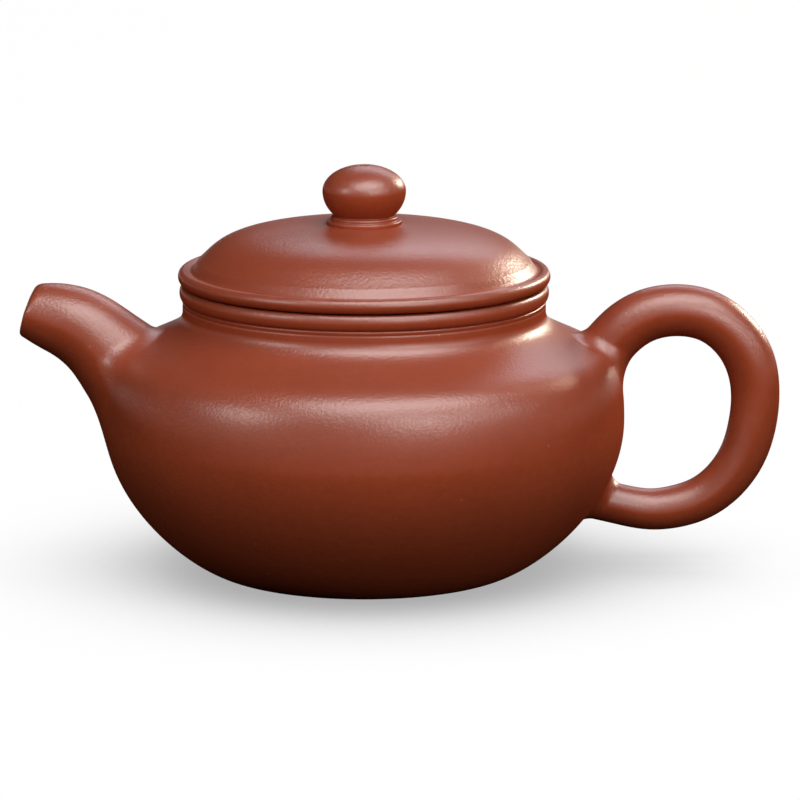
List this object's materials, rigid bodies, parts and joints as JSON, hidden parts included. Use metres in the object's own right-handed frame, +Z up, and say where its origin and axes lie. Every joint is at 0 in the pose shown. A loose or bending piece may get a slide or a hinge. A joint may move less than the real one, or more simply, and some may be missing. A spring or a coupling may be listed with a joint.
{
  "type": "clay teapot",
  "caption": "Small unglazed red clay teapot with a flared spout, a ring handle and a domed lift-off lid with a pierced knob.",
  "frame": {"origin": "on the pot's axis at the middle of its flat base", "axes": "+Z up along the pot's axis, +X towards the handle, so the spout points to -X"},
  "size_m": [0.1401, 0.096, 0.075],
  "materials": {
    "burnished_clay": "burnished satin, unglazed",
    "bare_clay": "matte, unglazed"
  },
  "bodies": {
    "pot": {"base_disc": "burnished_clay", "body_wall": "burnished_clay", "shoulder_disc": "burnished_clay", "neck_ring": "burnished_clay", "mouth_bead": "burnished_clay", "spout": "burnished_clay", "strainer": "bare_clay", "handle": "burnished_clay"},
    "lid": {"lid_flange": "bare_clay", "lid_bead": "burnished_clay", "lid_plate": "burnished_clay", "knob_neck": "burnished_clay", "knob": "burnished_clay"}
  },
  "joints": [
    {"name": "lid_lift", "type": "slide", "parent": "pot", "child": "lid", "axis": [0, 0, 1], "range_m": [0, 0.06]}
  ]
}
